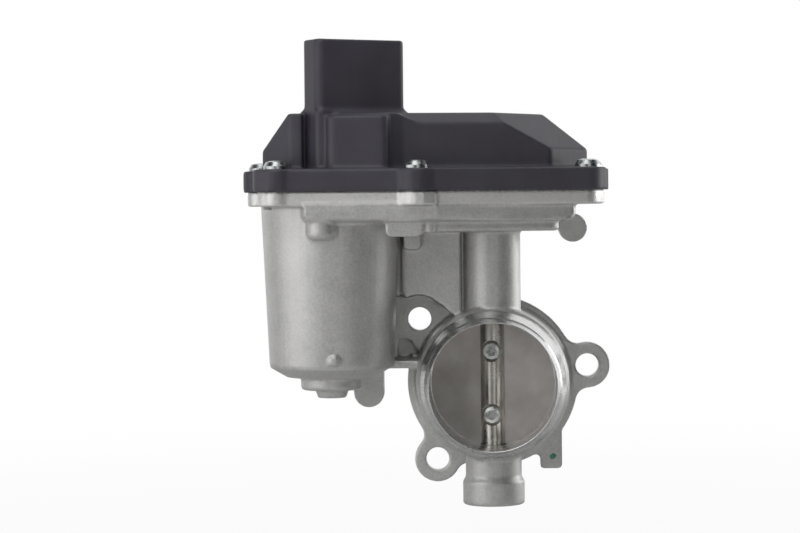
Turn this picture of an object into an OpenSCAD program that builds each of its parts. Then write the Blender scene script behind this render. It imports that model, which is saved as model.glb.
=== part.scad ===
// Motor-driven flap valve for an exhaust gas recirculation line, in millimetres.
// The origin is on the gas bore's axis, in the back face of the mounting flange.
// +Z runs up along the valve shaft, +X to the right, and +Y away from the spigot.

/* [Gas bore] */
// Diameter of the gas bore
bore_d = 37.4; // [36:0.2:38]
// Diameter of the machined spigot
spigot_d = 43.6; // [42.8:0.2:45]
// Distance from the flange's back face to the spigot's end
spigot_reach = 34; // [32:0.5:36]
// Outer diameter of the spigot at its end
nose_d = 38; // [38:0.2:39]
// Length of the steep lead-in at the spigot's end
nose_l = 4; // [2:0.5:5]
// Diameter where the steep lead-in meets the long taper
taper_d = 40.4; // [40:0.2:41.5]
// Length of the long taper
taper_l = 7; // [5:0.5:8]
// Diameter of the cast barrel behind the spigot, at the flange
barrel_d = 46.4; // [46:0.2:48]
// How much narrower the barrel is at its front, for draft
barrel_draft = 1; // [0.4:0.1:1.4]
// Radius of the hollow between barrel and flange
barrel_fillet = 1.5; // [1:0.1:2]
// Distance from the flange's back face to the barrel's front shoulder
barrel_reach = 20.8; // [20.6:0.2:22]

/* [Mounting flange] */
// Diameter of the flange's round middle
flange_d = 51.6; // [50.5:0.2:53]
// Thickness of the flange
flange_t = 5; // [4:0.5:6]
// Diameter of the three bolt holes
bolt_d = 7; // [6.4:0.1:7.4]
// Distance of the bolt holes from the bore's axis
bolt_reach = 29; // [28.6:0.2:30]
// Metal round each bolt hole
bolt_wall = 3.4; // [3:0.2:4]
// Radius of the hollow between an ear and the round middle
ear_fillet = 4; // [2:0.5:5]
// Angle of the right bolt hole
bolt_right_angle = 8.8; // [6:0.2:12]
// Angle of the upper left bolt hole
bolt_upper_angle = 139.3; // [138:0.1:141]
// Angle of the lower left bolt hole
bolt_lower_angle = 234.4; // [232:0.2:237]
// Left edge of the flange's tab
tab_x = 14.2; // [13:0.2:15]
// Width of the tab
tab_w = 6.6; // [6:0.2:7]
// How far the tab reaches below the bore's axis
tab_reach = 26.8; // [26:0.2:29]

/* [Valve] */
// Diameter of the valve shaft
shaft_d = 7.5; // [7:0.1:8]
// Distance of the shaft's axis from the flange's back face
shaft_y = 12; // [11.4:0.1:12.6]
// Height of the shaft's top above the bore's axis
shaft_top = 71; // [70.5:0.1:71.4]
// Thickness of the valve plate
plate_t = 2; // [1.6:0.1:2.4]
// Gap between the closed plate and the bore
plate_gap = 0.1; // [0.08:0.01:0.2]
// Angle of the closed plate from square across the bore
closed_angle = 6; // [5:0.5:8]
// Angle that the shaft turns from closed to open
opening_angle = 80; // [70:10:80]
// Distance between the two plate screws
plate_screw_gap = 19; // [16:0.5:21]
// Diameter of a plate screw's head
plate_head_d = 5.9; // [5.4:0.1:6.2]
// Height of a plate screw's head
plate_head_h = 1.8; // [1.4:0.1:2]
// Thread diameter of a plate screw
plate_screw_d = 3; // [2.5:0.1:3]

/* [Shaft tower and lower boss] */
// Diameter of the tower between bore and gearbox
tower_d = 17.2; // [16.6:0.1:18]
// Diameter of the neck below the bore
neck_d = 16.8; // [16:0.1:17.6]
// Diameter of the lower boss
boss_d = 18.5; // [18:0.1:19.5]
// Height of the wide part of the lower boss
boss_h = 7; // [6:0.2:8]
// Diameter of the needle bearing at the tower's top
bearing_d = 12; // [11.4:0.1:12.6]
// Length of the needle bearing
bearing_l = 10; // [9:0.2:10.4]
// Length of the shaft seal
seal_l = 4.5; // [4:0.1:5]
// Diameter of the lower bush
bush_d = 11; // [10.4:0.1:11.6]
// Length of the lower bush
bush_l = 10; // [9:0.2:10.5]
// Metal between the gas bore and the lower bush
bush_wall = 3; // [2.4:0.1:3.6]
// Room between the lower bush and the plug
plug_room = 2.6; // [2:0.1:3.4]
// Thickness of the plug in the lower boss
plug_t = 1.6; // [1.2:0.1:1.8]
// How far the plug sits inside the lower boss
plug_inset = 0.5; // [0.2:0.1:1]
// Diameter of the plug in the lower boss
plug_d = 14.4; // [13.8:0.1:15]

/* [Motor] */
// Place of the motor's axis to the left of the shaft
motor_x = -47.9; // [-48.3:0.1:-47.5]
// Place of the motor's axis in front of the flange's back face
motor_y = -18.5; // [-18.8:0.1:-18.2]
// Diameter of the motor can at its mouth
can_top_d = 41.2; // [40.8:0.1:42]
// Diameter of the motor can at its foot
can_foot_d = 36.9; // [36.6:0.1:37.6]
// Height of the can's foot above the bore's axis
can_foot_z = 5.7; // [5.4:0.1:6.2]
// Height of the can's flat base above the bore's axis
can_base_z = 2.7; // [2.4:0.1:3]
// Diameter of the can's flat base
can_base_d = 26.6; // [25:0.2:28]
// Diameter of the bearing cup under the can
cup_d = 18.5; // [17.5:0.1:19.5]
// Depth of the bearing cup under the can's base
cup_h = 3.9; // [3.6:0.1:4.2]
// Diameter of the small boss under the bearing cup
cup_boss_d = 10; // [9:0.2:11]
// Depth of the small boss under the bearing cup
cup_boss_h = 2.4; // [2:0.1:3]
// Diameter of the motor itself
motor_d = 31.8; // [31:0.1:32]
// Wall of the motor's steel case
case_wall = 1.2; // [1:0.1:1.4]
// Diameter of the motor's shaft
motor_shaft_d = 3.2; // [3:0.1:3.4]
// Distance of the motor screws from the motor's axis
motor_screw_reach = 18.6; // [18.5:0.1:18.6]
// Thread diameter of the motor screws
motor_screw_d = 2.5; // [2.2:0.1:2.5]
// Head diameter of the motor screws
motor_head_d = 4.4; // [4:0.1:4.4]

/* [Gears] */
// How much longer the two gear steps are together than the line from motor to shaft
gear_bend = 1.661; // [1.6:0.01:1.7]
// Size of the teeth on pinion and large wheel, over that on small wheel and sector
module_ratio = 0.8; // [0.8:0.01:0.81]
// Teeth of the motor pinion
pinion_teeth = 12; // [12:1:12]
// Teeth of the idler's large wheel
wheel_teeth = 48; // [48:1:48]
// Teeth of the idler's small wheel
small_teeth = 16; // [16:1:16]
// Teeth that the sector would have as a whole gear
sector_teeth = 36; // [36:1:36]
// Pressure angle of all teeth
pressure_angle = 25; // [24:0.5:26]
// Play between meshing teeth
backlash = 0.14; // [0.1:0.01:0.2]
// Thickness of the idler's large wheel
wheel_t = 4; // [3.4:0.1:4.2]
// Thickness of the sector gear
sector_t = 6; // [5:0.2:6.4]
// Diameter of the idler's pin
idler_pin_d = 4; // [3.6:0.1:4.2]

/* [Gearbox] */
// Height of the joint between housing and cover
split_z = 57.6; // [57.4:0.1:57.8]
// Thickness of the housing's rim plate
rim_t = 4.3; // [4:0.1:4.6]
// How far the housing's rim stays inside the cover's flange
rim_inset = 1.3; // [1:0.1:1.6]
// Depth of the pan below the rim plate
pan_h = 4.6; // [4.2:0.1:5]
// Depth of the raised layer under the pan
pan_foot_h = 3.2; // [2.8:0.1:3.6]
// Radius of the pan's lower edge
pan_round = 2; // [1.5:0.1:2.4]
// Height of the gearbox floor
floor_z = 51.2; // [51:0.1:51.4]
// How far the cover's flange reaches to the left of the motor can
rim_beyond_can = 0.7; // [0.3:0.1:1.2]
// Right edge of the cover's flange
rim_right = 33; // [32.4:0.1:34]
// How far the cover's flange reaches in front of the sector's teeth at its right end
rim_beyond_sector = 2.55; // [2.35:0.05:3.05]
// How much further forward the cover's flange stands at the left
rim_step = 10.5; // [10:0.1:11]
// Room between the idler's large wheel and the cover's wall
wheel_room = 0.8; // [0.7:0.1:1.4]
// Metal round a cover screw
screw_ear = 5.5; // [5.2:0.1:6]
// Thread diameter of the cover screws
cover_screw_d = 4; // [3.6:0.1:4]
// Head diameter of the cover screws
cover_head_d = 7.5; // [7:0.1:7.8]
// Head height of the cover screws
cover_head_h = 2.4; // [2:0.1:2.8]
// Width of the cover seal
seal_w = 1.3; // [1.1:0.1:1.4]
// Height of the cover seal
seal_h = 1.8; // [1.6:0.1:2.2]

/* [Cover] */
// Thickness of the cover's flange
cover_flange_t = 6.6; // [6.2:0.1:7]
// Height of the cover's flat top
cover_top = 80.4; // [80.2:0.1:81]
// Wall of the cover
cover_wall = 2.3; // [2.1:0.1:2.4]
// Height of the raised front box
box_top = 79.5; // [79:0.1:80]
// Width of the connector shell
connector_w = 29.2; // [28:0.1:30]
// Depth of the connector shell
connector_d = 10.3; // [9.8:0.1:11]
// Height of the connector above the cover's flat top
connector_h = 21.7; // [20:0.1:23]
// Angle that the connector is turned in plan
connector_angle = 30; // [28:1:32]
// Wall of the connector shell
connector_wall = 1.6; // [1.4:0.1:1.8]
// Depth of the connector's socket
socket_depth = 18; // [16:0.5:18.5]
// Number of blades in the connector
terminal_count = 5; // [3:1:5]
// Distance between two blades
terminal_pitch = 4.4; // [4:0.1:4.6]

/* [Hidden] */
$fn = 64;

// Small allowances shared by all pieces
eps = 0.01;
run_gap = 0.03;
press_gap = 0.01;
air = 0.4;
far = 200;

// Heights that follow from the gearbox and the valve
rim_bottom = split_z - rim_t;
pan_bottom = rim_bottom - pan_h;
pan_foot_bottom = pan_bottom - pan_foot_h;
flange_top = split_z + cover_flange_t;
ceiling = cover_top - cover_wall;
connector_top = cover_top + connector_h;
bore_r = bore_d / 2;
shaft_r = shaft_d / 2;
rim_left = motor_x - can_top_d / 2 - rim_beyond_can;
boss_reach = bore_r + bush_wall + bush_l + plug_room + plug_t + plug_inset;

// Places of the three gear axes in plan: the idler sits behind the line from motor to shaft
shaft_xy = [0, -shaft_y];
motor_xy = [motor_x, motor_y];
shaft_to_motor = norm(motor_xy - shaft_xy);
// Size of a tooth: pitch diameter over number of teeth
slow_module = 2 * (shaft_to_motor + gear_bend)
    / (module_ratio * (pinion_teeth + wheel_teeth) + small_teeth + sector_teeth);
fast_module = module_ratio * slow_module;
// How far a tooth reaches outside and inside the pitch circle, in modules
tooth_tip = 0.95;
tooth_root = 1.2;
pinion_r = fast_module * pinion_teeth / 2;
wheel_r = fast_module * wheel_teeth / 2;
small_r = slow_module * small_teeth / 2;
sector_r = slow_module * sector_teeth / 2;
motor_to_idler = pinion_r + wheel_r;
shaft_to_idler = small_r + sector_r;
motor_heading = atan2(motor_xy[1] - shaft_xy[1], motor_xy[0] - shaft_xy[0]);
idler_swing = acos((shaft_to_motor ^ 2 + shaft_to_idler ^ 2 - motor_to_idler ^ 2)
    / (2 * shaft_to_motor * shaft_to_idler));
mesh_heading = motor_heading + 360 - idler_swing;
idler_xy = shaft_xy + shaft_to_idler * [cos(mesh_heading), sin(mesh_heading)];
idler_heading = atan2(idler_xy[1] - motor_xy[1], idler_xy[0] - motor_xy[0]);

// Edges of the cover's flange that follow from the gears
dome_inset = 4;
rim_front_right = -shaft_y - sector_r - tooth_tip * slow_module - rim_beyond_sector;
rim_front = rim_front_right - rim_step;
rim_back = idler_xy[1] + wheel_r + tooth_tip * fast_module + wheel_room + cover_wall + dome_inset;

// Layers of the gear train
wheel_z = split_z + 0.6;
small_top = wheel_z + 12.4;
sector_z = wheel_z + wheel_t + 1.3;
hub_top = sector_z + sector_t + 0.6;
pinion_z = wheel_z - 0.8;
pinion_h = wheel_t + 1.6;
idler_boss_d = 9;
idler_boss_top = wheel_z - 0.4;
idler_pin_top = small_top + 2.6;
hub_flange_d = 20;
hub_neck_d = 10;

// Cover screws: left front, middle front, right front, right back, two at the back, left back
cover_screw_xy = [
    [rim_left + 7, rim_front + 4.5], [-21.7, rim_front + 3], [rim_right - 4.6, rim_front_right + 6.5],
    [rim_right - 2.4, 4], [-4, rim_back - 1.5], [-46, rim_back - 1.5], [rim_left - 1.3, 5.5]
];
rim_points = [
    [rim_left, rim_front], [-16, rim_front], [rim_right, rim_front_right], [rim_right, 10],
    [rim_right - 8, rim_back], [rim_left + 8, rim_back], [rim_left, 10]
];
cavity_inset = 4.6;
cavity_screw_room = 6.2;
seal_inset = 0.8;
shelf_z = rim_bottom + 2;
pan_wall = 2.3;

// The cover's dome: outline of its walls, and the slopes that cut its top
dome_points = [
    [rim_left + 10.7, rim_front + 7.5], [motor_x + 18.4, rim_front + 5.2],
    [motor_x + 22.4, rim_front + 7.2], [rim_right - 15.5, rim_front_right + 2.9],
    [rim_right - 4.2, -15], [rim_right - 4.2, -4], [rim_right - 15, rim_back - dome_inset],
    [rim_left + 11.2, rim_back - dome_inset], [rim_left + 1.9, -1], [rim_left + 1.9, -27]
];
slope_z = cover_top - 10.8;
// Each slope: two ends of its foot in plan, the height of the foot, and its rise in degrees
dome_slopes = [
    [dome_points[3], dome_points[4], slope_z, 37.5],
    [dome_points[4], dome_points[5], slope_z, 39.4],
    [dome_points[5], dome_points[6], slope_z, 42],
    [dome_points[6], dome_points[7], cover_top - 8, 55],
    [dome_points[8], dome_points[9], slope_z, 52]
];
// The slope along the front runs out towards the raised box
front_slope = [dome_points[2], dome_points[3], cover_top - 3.2, 45];
front_slope_end = [-20.5, 24.8];
head_room = 4.5;
dome_round = 1.8;
box_x = [motor_x + 0.4, motor_x + 18.4];
box_front = rim_front + 1.5;
connector_xy = [motor_x - 2.25, rim_front + 5];
connector_corner = 2.2;

// The spigot and the motor can as outlines of radius and height
spigot_outline = [
    [0, 0], [spigot_d / 2, 0], [spigot_d / 2, spigot_reach - nose_l - taper_l],
    [taper_d / 2, spigot_reach - nose_l], [nose_d / 2, spigot_reach], [0, spigot_reach]
];
barrel_outline = concat(
    [[0, 0], [barrel_d / 2 + barrel_fillet, 0]],
    [for (a = [0:15:90]) [
        barrel_d / 2 + barrel_fillet * (1 - sin(a)), flange_t + barrel_fillet * (1 - cos(a))
    ]],
    [[(barrel_d - barrel_draft) / 2, barrel_reach - 0.4], [(barrel_d - barrel_draft) / 2 - 0.4, barrel_reach],
        [0, barrel_reach]]
);
cup_z = can_base_z - cup_h;
cup_round = 1;
foot_groove = 0.4;
can_outline = concat(
    [[0, cup_z - cup_boss_h], [cup_boss_d / 2 - 0.8, cup_z - cup_boss_h], [cup_boss_d / 2, cup_z]],
    [for (a = [0:15:90]) [cup_d / 2 - cup_round * (1 - sin(a)), cup_z + cup_round * (1 - cos(a))]],
    [[cup_d / 2, can_base_z], [can_base_d / 2, can_base_z], [can_foot_d / 2, can_foot_z],
        [can_foot_d / 2 - foot_groove, can_foot_z + 0.1],
        [can_foot_d / 2 - foot_groove, can_foot_z + 0.1 + foot_groove],
        [can_foot_d / 2, can_foot_z + 0.2 + foot_groove],
        [can_top_d / 2, rim_bottom], [0, rim_bottom]]
);
can_floor = can_base_z + 4.5;
can_bore_foot_d = motor_d + 1;
can_bore_top_d = motor_d + 2;
cup_bore_d = 13;
motor_z = can_floor + 1.4;
motor_top = floor_z - 1.2;
case_boss_d = 11;
motor_ear_angles = [85.5, 265.5];
motor_boss_r = 4.35;
motor_boss_bottom = 43.6;
boss_round = 1.8;
motor_screw_l = 8;
cap_top = floor_z + 2.2;
motor_hole_z = cap_top - motor_screw_l - 0.3;

tab_fillet = 1.3;
tab_round = 0.9;
bolt_angles = [bolt_right_angle, bolt_upper_angle, bolt_lower_angle];
upper_bolt = bolt_reach * [cos(bolt_upper_angle), sin(bolt_upper_angle)];
bearing_z = floor_z - bearing_l;
seal_z = bearing_z - seal_l;
bush_z = -bore_r - bush_wall - bush_l;
plug_z = -boss_reach + plug_inset;
shaft_bottom = bush_z + 0.5;

// Turns local +Z towards the spigot's end, with local Y up
module along_bore() rotate([90, 0, 0]) children();

module at_shaft(z = 0) translate([shaft_xy[0], shaft_xy[1], z]) children();

module at_motor(z = 0) translate([motor_xy[0], motor_xy[1], z]) children();

module at_idler(z = 0) translate([idler_xy[0], idler_xy[1], z]) children();

module rounded(radius) offset(r = radius) offset(delta = -radius) children();

module filled(radius) offset(r = -radius) offset(r = radius) children();

// A prism of a convex outline with its lower edge rounded
module soft_block(height, radius) {
    hull() for (a = [0:30:90]) {
        rise = radius * (1 - sin(a));
        translate([0, 0, rise]) linear_extrude(height - rise)
            offset(delta = -radius * (1 - cos(a))) children();
    }
}

// A round boss whose lower edge is rounded
module soft_boss(radius, height, edge) {
    rotate_extrude() polygon(concat(
        [[0, height], [0, 0]],
        [for (a = [0:15:90]) [radius - edge * (1 - sin(a)), edge * (1 - cos(a))]],
        [[radius, height]]
    ));
}

module tube(outer, inner, height) {
    difference() {
        cylinder(d = outer, h = height);
        translate([0, 0, -1]) cylinder(d = inner, h = height + 2);
    }
}

// Six-lobed recess of a screw head
module star_2d(d) {
    circle(d = d * 0.72);
    for (a = [0:60:300]) rotate(a) translate([d * 0.36, 0]) circle(d = d * 0.26);
}

// A screw with a domed head on z = 0 and its shank below
module pan_screw(thread, length, head, height) {
    difference() {
        rotate_extrude() intersection() {
            polygon([
                [0, -length], [thread / 2 - 0.4, -length], [thread / 2, 0.4 - length], [thread / 2, 0],
                [head / 2, 0], [head / 2, height * 0.35], [head * 0.4, height * 0.85],
                [head * 0.25, height], [0, height]
            ]);
            translate([0, -far]) square(2 * far);
        }
        translate([0, 0, height * 0.4]) linear_extrude(height) star_2d(head * 0.52);
    }
}

// Angle between the pitch point and a radius along an involute flank
function involute_angle(base, r) = let (a = acos(min(1, base / r))) tan(a) * 180 / PI - a;

// Half of a tooth's angle at radius r
function half_tooth(r, module_size, teeth) =
    let (pitch = module_size * teeth / 2, base = pitch * cos(pressure_angle))
    90 / teeth - backlash / 4 / pitch * 180 / PI
        + involute_angle(base, pitch) - involute_angle(base, max(base, r));

// Outline of a gear's teeth; only the teeth from number first to number last are cut
module gear_2d(module_size, teeth, first = 0, last = -1) {
    pitch = module_size * teeth / 2;
    base = pitch * cos(pressure_angle);
    tip = pitch + tooth_tip * module_size;
    root = pitch - tooth_root * module_size;
    foot = max(base, root);
    flank = [for (i = [0:5]) foot + (tip - foot) * i / 5];
    count = last < 0 ? teeth - 1 : last;
    for (n = [first:count]) rotate(n * 360 / teeth) polygon(concat(
        [[root * 0.96, -root * sin(half_tooth(foot, module_size, teeth))]],
        [for (r = flank) let (a = half_tooth(r, module_size, teeth)) r * [cos(a), -sin(a)]],
        [for (i = [5:-1:0]) let (r = flank[i], a = half_tooth(r, module_size, teeth)) r * [cos(a), sin(a)]],
        [[root * 0.96, root * sin(half_tooth(foot, module_size, teeth))]]
    ));
}

// Outline of the cover's flange, with an ear round each screw
module rim_2d() {
    filled(3) {
        rounded(6) polygon(rim_points);
        for (p = cover_screw_xy) translate(p) circle(r = screw_ear);
    }
}

// Opening of the gearbox at the joint, which leaves metal round each screw
module cavity_2d() {
    rounded(2) difference() {
        offset(delta = -cavity_inset) rounded(6) polygon(rim_points);
        for (p = cover_screw_xy) translate(p) circle(r = cavity_screw_room);
    }
}

module seal_2d(grow = 0) {
    difference() {
        offset(r = seal_inset + seal_w + grow) cavity_2d();
        offset(r = seal_inset - grow) cavity_2d();
    }
}

module ear_2d(angle) {
    ear_r = bolt_d / 2 + bolt_wall;
    disc_r = flange_d / 2;
    side = acos(((disc_r + ear_fillet) ^ 2 + bolt_reach ^ 2 - (ear_r + ear_fillet) ^ 2)
        / (2 * (disc_r + ear_fillet) * bolt_reach));
    rotate(angle) {
        translate([bolt_reach, 0]) circle(r = ear_r);
        for (s = [-1, 1]) difference() {
            polygon([[0, 0], [bolt_reach, 0], (disc_r + ear_fillet) * [cos(s * side), sin(s * side)]]);
            rotate(s * side) translate([disc_r + ear_fillet, 0]) circle(r = ear_fillet);
        }
    }
}

// The mounting flange's outline, seen from the front
module flange_2d() {
    circle(d = flange_d);
    for (a = bolt_angles) ear_2d(a);
    // Hollow corner between the disc and the tab's left edge
    corner = [tab_x - tab_fillet, -sqrt((flange_d / 2 + tab_fillet) ^ 2 - (tab_x - tab_fillet) ^ 2)];
    difference() {
        polygon([[0, 0], corner, [tab_x + 1, corner[1]], [tab_x + 1, -15]]);
        translate(corner) circle(r = tab_fillet);
    }
    translate([tab_x, -tab_reach]) {
        translate([0, tab_round]) square([tab_w, tab_reach - 10]);
        for (x = [tab_round, tab_w - tab_round]) translate([x, tab_round]) circle(r = tab_round);
        translate([tab_round, 0]) square([tab_w - 2 * tab_round, 2]);
    }
}

pocket_points = [[-28.2, 12.8], [-25.4, 12.6], [-22.2, 9.6], [-22.2, 7], [-28.6, 7]];
web_left = motor_x + 10;
web_foot = 4.7;
web_top = 26;

// The plate at the flange's level that joins the can to the flange
module web_plate_2d() {
    difference() {
        translate([web_left, web_foot]) square([-18 - web_left, web_top - web_foot]);
        circle(d = flange_d - 2);
    }
}

// Hollow behind the raised web: two corners seen from the front, and its depth
web_core = [[-25.3, 28.5], [-11.5, pan_foot_bottom - 1]];
web_core_depth = 14.5;

// Raised web between can and tower, which leaves room for the upper bolt's head
module web_panel_2d(left, right) {
    difference() {
        polygon([
            [left, pan_bottom + 1], [right, pan_bottom + 1], [right, 20.2], [-10.7, 20.4], [-12.3, 21],
            upper_bolt + [7, 4.5], upper_bolt + [3.7, 6.9], upper_bolt + [0, 7],
            upper_bolt + [-3.6, 6.8], [left, 27.4]
        ]);
        translate(upper_bolt) circle(r = 7.7);
    }
}

module pan_frame_2d() {
    rounded(3, $fn = 32) polygon([
        [motor_x - 6.6, rim_front + 3], [-16, rim_front + 3], [rim_right - 8.3, rim_front_right + 3],
        [rim_right - 8.3, 4], [14, rim_back - 6], [motor_x - 4.1, rim_back - 6], [motor_x - 14.1, 0],
        [motor_x - 9.1, -30]
    ]);
}

// The gearbox floor inside the pan's walls
module floor_2d() intersection() {
    cavity_2d();
    offset(delta = -pan_wall) union() {
        pan_frame_2d();
        translate(motor_xy) circle(d = can_top_d);
    }
}

module pan_foot_2d() {
    rounded(4, $fn = 32) polygon([
        [-19.7, rim_front + 7], [-14, rim_front + 7], [19.9, rim_front_right + 6.5],
        [19.9, 1], [11, rim_back - 9], [-19.7, rim_back - 9]
    ]);
}

module valve_body_outside() {
    // Flange, barrel and spigot
    along_bore() linear_extrude(flange_t) flange_2d();
    along_bore() rotate_extrude() polygon(barrel_outline);
    along_bore() rotate_extrude() polygon(spigot_outline);
    // Tower, neck and lower boss
    at_shaft() cylinder(d = tower_d, h = pan_bottom + 1);
    at_shaft(-boss_reach) soft_boss(boss_d / 2, boss_h, 0.6);
    at_shaft(boss_h - boss_reach) cylinder(d1 = boss_d, d2 = neck_d, h = 1.2);
    at_shaft(boss_h - boss_reach) cylinder(d = neck_d, h = boss_reach - boss_h);
    // Motor can
    at_motor() rotate_extrude() polygon(can_outline);
    // Pan, its raised layer and the rim plate
    translate([0, 0, pan_bottom]) soft_block(pan_h + 1, pan_round) pan_frame_2d();
    translate([0, 0, pan_foot_bottom]) soft_block(pan_foot_h + 1, 1) pan_foot_2d();
    translate([0, 0, rim_bottom]) linear_extrude(rim_t) offset(delta = -rim_inset) rim_2d();
    // Webs between can, tower and flange
    along_bore() difference() {
        linear_extrude(flange_t) web_plate_2d();
        translate([0, 0, flange_t / 2]) linear_extrude(flange_t) rounded(1) polygon(pocket_points);
    }
    along_bore() {
        linear_extrude(shaft_y + 1) web_panel_2d(web_left, -5);
        linear_extrude(17) web_panel_2d(-26.8, -9.3);
        linear_extrude(17) translate([web_left, web_foot]) square([-20 - web_left, 2.3]);
    }
    // Bosses under the pan: for the motor screws, under the middle screw, and two small ones
    for (a = motor_ear_angles) at_motor(motor_boss_bottom) rotate(a) translate([motor_screw_reach + 0.65, 0])
        soft_boss(motor_boss_r, rim_bottom - motor_boss_bottom + 1, boss_round);
    translate([-30.9, rim_front + 2, 44.3]) soft_block(rim_bottom - 44.3 + 1, boss_round)
        rounded(2.5, $fn = 32) square([11.1, 9]);
    translate([-18.1, rim_front + 6, pan_foot_bottom]) cylinder(r = 1.8, h = pan_foot_h + 1);
    translate([-26.3, -15, 40.2]) along_bore() linear_extrude(6)
        rounded(1.5) square([5.3, pan_bottom - 40.2 + 1]);
    // Two round pads and the pip on the can
    translate([24.6, 0, 46.1]) along_bore() cylinder(r = 4.3, h = 8);
    translate([-37.4, 0, -3]) along_bore() cylinder(r = 4.6, h = 8);
    translate([-42, -8, -3]) cube([9.1, 8, 8]);
    translate([-46.2, motor_y - can_foot_d / 2 + 2, 8.3]) along_bore()
        rotate_extrude() polygon([[0, 0], [1.55, 0], [1.55, 2.4], [1.3, 2.75], [0.8, 2.95], [0, 3]]);
}

module gearbox_room() {
    difference() {
        union() {
            translate([0, 0, shelf_z]) linear_extrude(far) cavity_2d();
            translate([0, 0, floor_z]) linear_extrude(shelf_z - floor_z + eps) floor_2d();
            // Room for the heads of the motor screws
            for (a = motor_ear_angles) at_motor(floor_z) rotate(a) translate([motor_screw_reach, 0])
                cylinder(d = motor_head_d + 2 * air, h = shelf_z - floor_z + eps);
        }
        at_idler() cylinder(d = idler_boss_d, h = idler_boss_top);
    }
}

module valve_body() {
    color("silver") difference() {
        valve_body_outside();
        // Gas bore and bolt holes
        translate([0, 1, 0]) along_bore() cylinder(d = bore_d, h = spigot_reach + 2);
        for (a = bolt_angles) translate([bolt_reach * cos(a), 1, bolt_reach * sin(a)])
            along_bore() cylinder(d = bolt_d, h = flange_t + 20);
        // Bore for shaft, bearing and seal in the tower, and for bush and plug in the boss
        at_shaft(bush_z - 1) cylinder(r = shaft_r + air, h = far / 2);
        at_shaft(seal_z) cylinder(d = bearing_d + 2 * press_gap, h = far / 2);
        at_shaft(-far) cylinder(d = bush_d + 2 * press_gap, h = far + bush_z + bush_l);
        at_shaft(-far) cylinder(d = plug_d + 2 * press_gap, h = far + plug_z + plug_t);
        // Hollow in the back of the raised web, which keeps its wall even
        translate([0, 1, 0]) along_bore() linear_extrude(web_core_depth + 1)
            rounded(2) translate(web_core[0]) square(web_core[1] - web_core[0]);
        // Slot under the rim beside the can
        translate([rim_left + 0.6, motor_y - 13, rim_bottom - 0.8]) cube([3.7, 6.5, 0.8]);
        // Gearbox and motor
        gearbox_room();
        at_motor(can_floor)
            cylinder(d1 = can_bore_foot_d, d2 = can_bore_top_d, h = floor_z - can_floor + eps);
        at_motor(can_base_z - 1.6) cylinder(d = cup_bore_d, h = far / 10);
        // Threaded holes, seal groove and pin hole
        for (p = cover_screw_xy) translate([p[0], p[1], rim_bottom - 1])
            cylinder(d = cover_screw_d + 2 * run_gap, h = rim_t + 2);
        for (a = motor_ear_angles) at_motor(motor_hole_z) rotate(a) translate([motor_screw_reach, 0])
            cylinder(d = motor_screw_d + 2 * run_gap, h = motor_screw_l);
        translate([0, 0, split_z - seal_h]) linear_extrude(seal_h + 1) seal_2d(0.1);
        at_idler(floor_z - 1) cylinder(d = idler_pin_d + 2 * press_gap, h = 20);
    }
}

// Cuts away what is above a slope that rises inwards from the line between two points
module slope_cut(slope, inset) {
    run = slope[1] - slope[0];
    translate([slope[0][0], slope[0][1], slope[2]]) rotate(atan2(run[1], run[0]))
        rotate([slope[3], 0, 0]) translate([-far / 2, -far / 2, -inset]) cube([far, far, far / 2]);
}

module dome(inset) {
    difference() {
        translate([0, 0, split_z - inset]) linear_extrude(cover_top - split_z)
            rounded(dome_round) difference() {
                offset(delta = -inset) polygon(dome_points);
                for (p = cover_screw_xy) translate(p) circle(r = head_room + inset);
            }
        for (s = dome_slopes) slope_cut(s, inset);
        intersection() {
            slope_cut(front_slope, inset);
            translate([front_slope_end[0], 0, front_slope[2]]) rotate([0, front_slope_end[1], 0])
                translate([-far / 2, -far / 2, 0]) cube([far, far, far / 2]);
        }
    }
}

module connector_2d(shrink = 0) {
    translate(connector_xy) rotate(connector_angle) translate([shrink, shrink])
        rounded(connector_corner - shrink / 2)
            square([connector_w - 2 * shrink, connector_d - 2 * shrink]);
}

catch_w = 7;
catch_h = 6;
catch_z = cover_top + 7.6;

// Wedge on the back of the connector between two guide ribs
module connector_catch() {
    translate([connector_xy[0], connector_xy[1], 0]) rotate(connector_angle)
        translate([connector_w / 2, connector_d - eps, catch_z]) {
            rotate([90, 0, 90]) translate([0, 0, -catch_w / 2]) linear_extrude(catch_w)
                polygon([[-0.5, 0], [1.8, 0], [1.8, 1], [0, catch_h], [-0.5, catch_h]]);
            for (s = [-1, 1]) translate([s * (catch_w / 2 + 2) - 0.6, -0.5, cover_top - 0.5 - catch_z])
                cube([1.2, 1.7, connector_top - cover_top - 2.5]);
        }
}

board_size = [21, 20, 1.2];
board_xy = [-13.5, -22];
board_z = hub_top + 3.8;
blade_x = motor_x - 12.5;
blade_size = [0.8, 2.4, 15.5];
contact_block = [6, 12, 20];
contact_xy = [blade_x - contact_block[0] / 2, motor_y - contact_block[1] / 2];

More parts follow.
